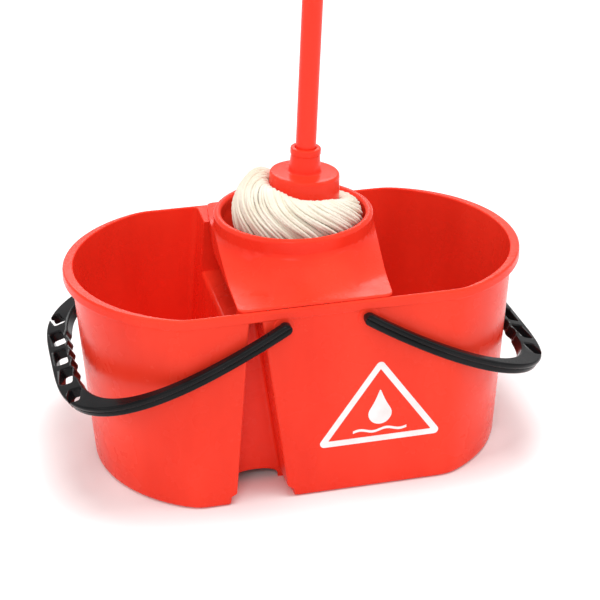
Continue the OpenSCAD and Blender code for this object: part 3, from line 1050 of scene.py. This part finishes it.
def red_plastic(name):
    """Glossy moulded polypropylene: faint flow marks, fine skin, and hair scratches."""
    m = Nodes(name)
    base = (0.95, 0.044, 0.019)
    flow = m.noise(9.0, 4.0, place=m.stretched((1, 1, 0.35)))
    deep = (base[0] * 0.86, base[1] * 0.72, base[2] * 0.7, 1)
    pale = (min(1, base[0] * 1.04), base[1] * 1.25, base[2] * 1.35, 1)
    colour = m.mix(m.ramp(flow, 0.3, 0.7), deep, pale)
    scratch = m.noise(38.0, 6.0, 0.72, place=m.stretched((1, 1, 14)))
    lines = m.ramp(scratch, 0.66, 0.72)
    scuff = m.math("MULTIPLY", lines, m.ramp(m.noise(14.0), 0.5, 0.62))
    scuff = m.math("MULTIPLY", scuff, 0.35)
    colour = m.mix(scuff, colour, (0.95, 0.16, 0.09, 1))
    skin = m.noise(700.0, 2.0)
    swell = m.noise(16.0, 2.0)
    normal = m.bump(swell, 0.0016, 0.22)
    normal = m.bump(skin, 0.00012, 0.25, normal)
    normal = m.bump(scuff, 0.0001, 0.5, normal)
    rough = m.math("ADD", m.ramp(m.noise(30.0, 4.0), 0.3, 0.7, 0.20, 0.32), m.math("MULTIPLY", scuff, 0.5))
    return m.finish(Base_Color=colour, Roughness=rough, Normal=normal, IOR=1.45, Specular_IOR_Level=0.17)


def black_plastic():
    """Black moulded plastic with a polished face and fine handling scratches."""
    m = Nodes("black_plastic")
    cloud = m.noise(24.0, 5.0)
    colour = m.mix(m.ramp(cloud, 0.3, 0.75), (0.004, 0.004, 0.0045, 1), (0.010, 0.010, 0.011, 1))
    hair = m.ramp(m.noise(90.0, 6.0, 0.75, place=m.stretched((1, 6, 1))), 0.64, 0.72)
    dust = m.math("MULTIPLY", hair, 0.35)
    colour = m.mix(dust, colour, (0.05, 0.05, 0.053, 1))
    normal = m.bump(m.noise(900.0, 2.0), 0.0001, 0.3)
    normal = m.bump(m.noise(45.0, 2.0), 0.0006, 0.25, normal)
    rough = m.math("ADD", m.ramp(cloud, 0.3, 0.7, 0.13, 0.2), m.math("MULTIPLY", hair, 0.12))
    return m.finish(Base_Color=colour, Roughness=rough, Normal=normal, Specular_IOR_Level=0.14)


def white_print():
    """Screen-printed white ink: slightly uneven, with pinholes where the red shows."""
    m = Nodes("white_print")
    cover = m.noise(60.0, 5.0)
    colour = m.mix(m.ramp(cover, 0.25, 0.75), (0.84, 0.80, 0.79, 1), (0.97, 0.965, 0.96, 1))
    pin = m.ramp(m.noise(420.0, 2.0), 0.74, 0.78)
    colour = m.mix(m.math("MULTIPLY", pin, 0.5), colour, (0.9, 0.2, 0.12, 1))
    normal = m.bump(m.noise(600.0, 3.0), 0.00008, 0.4)
    return m.finish(Base_Color=colour, Roughness=m.ramp(cover, 0.3, 0.7, 0.34, 0.46), Normal=normal)


def cotton():
    """Raw cotton yarn: cream, with greyer and warmer fibres and a soft nap."""
    m = Nodes("cotton_yarn")
    patch = m.noise(26.0, 3.0)
    colour = m.mix(m.ramp(patch, 0.32, 0.68), (0.74, 0.67, 0.53, 1), (0.88, 0.83, 0.72, 1))
    fibre = m.noise(1400.0, 3.0, 0.65)
    colour = m.mix(m.ramp(fibre, 0.35, 0.75, 0.0, 0.35), colour, (0.70, 0.62, 0.48, 1))
    warm = m.ramp(m.noise(11.0, 2.0), 0.55, 0.75, 0.0, 0.4)
    colour = m.mix(warm, colour, (0.93, 0.80, 0.62, 1))
    normal = m.bump(fibre, 0.0004, 0.55)
    return m.finish(
        Base_Color=colour, Roughness=m.ramp(patch, 0.3, 0.7, 0.82, 0.95), Normal=normal,
        Sheen_Weight=0.35, Sheen_Roughness=0.5, Specular_IOR_Level=0.2,
    )


def painted_shade_cotton():
    """Cotton darkened as painted shade, standing in for the shadow deep between strands."""
    m = Nodes("cotton_painted_shade")
    # Painted shade: these browns are the cotton darkened for the shadow between strands.
    colour = m.mix(m.noise(180.0, 4.0), (0.42, 0.37, 0.28, 1), (0.60, 0.54, 0.43, 1))
    normal = m.bump(m.noise(500.0, 3.0), 0.0012, 0.8)
    return m.finish(Base_Color=colour, Roughness=0.95, Normal=normal, Specular_IOR_Level=0.1)


def coated_tube():
    """Red powder coat on a steel tube, with a long faint draw pattern."""
    m = Nodes("red_coat")
    long_grain = m.noise(60.0, 4.0, place=m.stretched((1, 1, 0.03)))
    colour = m.mix(m.ramp(long_grain, 0.3, 0.7), (0.86, 0.034, 0.013, 1), (0.97, 0.042, 0.017, 1))
    rub = m.ramp(m.noise(55.0, 6.0, 0.7, place=m.stretched((1, 1, 5))), 0.66, 0.73)
    colour = m.mix(m.math("MULTIPLY", rub, 0.3), colour, (0.95, 0.19, 0.11, 1))
    normal = m.bump(m.noise(420.0, 3.0), 0.00016, 0.35)
    rough = m.math("ADD", m.ramp(long_grain, 0.3, 0.7, 0.26, 0.36), m.math("MULTIPLY", rub, 0.25))
    return m.finish(Base_Color=colour, Roughness=rough, Normal=normal, Specular_IOR_Level=0.26)


def zinc():
    """Zinc-plated steel with a spangled, slightly dull face."""
    m = Nodes("zinc_steel")
    grain = m.node("ShaderNodeTexVoronoi", {"Vector": m.place, "Scale": 420.0}).outputs["Distance"]
    colour = m.mix(m.ramp(grain, 0.1, 0.8), (0.52, 0.53, 0.55, 1), (0.70, 0.71, 0.73, 1))
    normal = m.bump(m.noise(900.0, 3.0), 0.00008, 0.4)
    rough = m.ramp(grain, 0.1, 0.8, 0.32, 0.5)
    return m.finish(Base_Color=colour, Metallic=1.0, Roughness=rough, Normal=normal)


def dress_cad_nodes(tube_coat, black, metal):
    """New materials for the CAD nodes that stay in view."""
    for node, material in (("handle_tube", tube_coat), ("threaded_end", black), ("yarn_retainer", metal)):
        mesh = frame["nodes"][node].data
        for slot_index in range(len(mesh.materials)):
            mesh.materials[slot_index] = material


# ---- studio ----


def studio_floor():
    size = 9.0
    cells = 24
    step = 2 * size / cells
    points = [(-size + i * step, -size + j * step, 0) for i in range(cells + 1) for j in range(cells + 1)]
    faces = []
    for i in range(cells):
        for j in range(cells):
            a = i * (cells + 1) + j
            faces.append((a, a + cells + 1, a + cells + 2, a + 1))
    mesh = bpy.data.meshes.new("floor")
    mesh.from_pydata(points, [], faces)
    floor = add_object("floor", mesh)
    m = Nodes("studio_floor")
    tone = m.mix(m.noise(0.8, 2.0), (0.94, 0.94, 0.94, 1), (0.965, 0.965, 0.965, 1))
    floor.data.materials.append(m.finish(Base_Color=tone, Roughness=0.85, Specular_IOR_Level=0.1))


def soft_light(name, place, target, size, power, glossy=True):
    """A soft lamp aimed at target; glossy says whether it shows in reflections."""
    data = bpy.data.lights.new(name, "AREA")
    data.shape = "RECTANGLE"
    data.size, data.size_y = size
    data.energy = power
    lamp = bpy.data.objects.new(name, data)
    lamp.location = place
    lamp.rotation_euler = (Vector(target) - Vector(place)).to_track_quat("-Z", "Y").to_euler()
    lamp.visible_glossy = glossy
    bpy.context.scene.collection.objects.link(lamp)


def studio_light():
    """White surroundings and five soft lamps."""
    world = bpy.data.worlds.new("studio")
    bpy.context.scene.world = world
    world.use_nodes = True
    tree = world.node_tree
    tree.nodes.clear()
    path = tree.nodes.new("ShaderNodeLightPath")
    seen = tree.nodes.new("ShaderNodeBackground")
    seen.inputs["Color"].default_value = (1, 1, 1, 1)
    seen.inputs["Strength"].default_value = 1.05
    fill = tree.nodes.new("ShaderNodeBackground")
    fill.inputs["Color"].default_value = (1, 1, 1, 1)
    fill.inputs["Strength"].default_value = 0.60
    chosen = tree.nodes.new("ShaderNodeMixShader")
    out = tree.nodes.new("ShaderNodeOutputWorld")
    tree.links.new(path.outputs["Is Camera Ray"], chosen.inputs[0])
    tree.links.new(fill.outputs[0], chosen.inputs[1])
    tree.links.new(seen.outputs[0], chosen.inputs[2])
    tree.links.new(chosen.outputs[0], out.inputs["Surface"])
    aim = (0, 0, 0.18)
    soft_light("key", (-0.9, -2.6, 2.3), aim, (0.9, 0.9), 15)
    soft_light("left_fill", (-2.6, -0.9, 1.4), aim, (1.6, 1.2), 9)
    soft_light("right_fill", (2.6, -1.2, 1.6), aim, (1.4, 1.2), 8)
    soft_light("back", (0.4, 2.6, 2.0), aim, (1.8, 0.9), 20)
    soft_light("top", (0.1, -0.3, 3.4), aim, (1.6, 1.6), 78, glossy=False)


def camera():
    """Camera above and in front of the bucket, turned a little to the right."""
    yaw, pitch, roll = (math.radians(a) for a in (13.398, 26.289, -0.528))
    look = Vector((math.sin(yaw) * math.cos(pitch), math.cos(yaw) * math.cos(pitch), -math.sin(pitch)))
    right = Vector((math.cos(yaw), -math.sin(yaw), 0))
    up = right.cross(look)
    across = right * math.cos(roll) + up * math.sin(roll)
    upward = up * math.cos(roll) - right * math.sin(roll)
    data = bpy.data.cameras.new("camera")
    data.lens = 94.39
    data.sensor_width = 36
    data.clip_start, data.clip_end = 0.05, 50
    eye = bpy.data.objects.new("camera", data)
    axes = Matrix((across, upward, -look)).transposed().to_4x4()
    eye.matrix_world = Matrix.Translation((-0.3616, -1.5462, 0.9500)) @ axes
    bpy.context.scene.collection.objects.link(eye)
    bpy.context.scene.camera = eye


def build():
    camera()
    studio_floor()
    studio_light()
    bpy.context.scene.view_settings.view_transform = "Standard"
    red = red_plastic("red_plastic")
    black = black_plastic()
    make_bucket(red)
    make_sign(white_print())
    make_bail("left_bail_body", -1, black)
    make_bail("right_bail_body", 1, black)
    make_wringer(red_plastic("wringer_red"))
    make_socket(red_plastic("socket_red"))
    make_cap(red_plastic("cap_red"))
    make_yarn(cotton(), painted_shade_cotton())
    dress_cad_nodes(coated_tube(), black, zinc())


build()
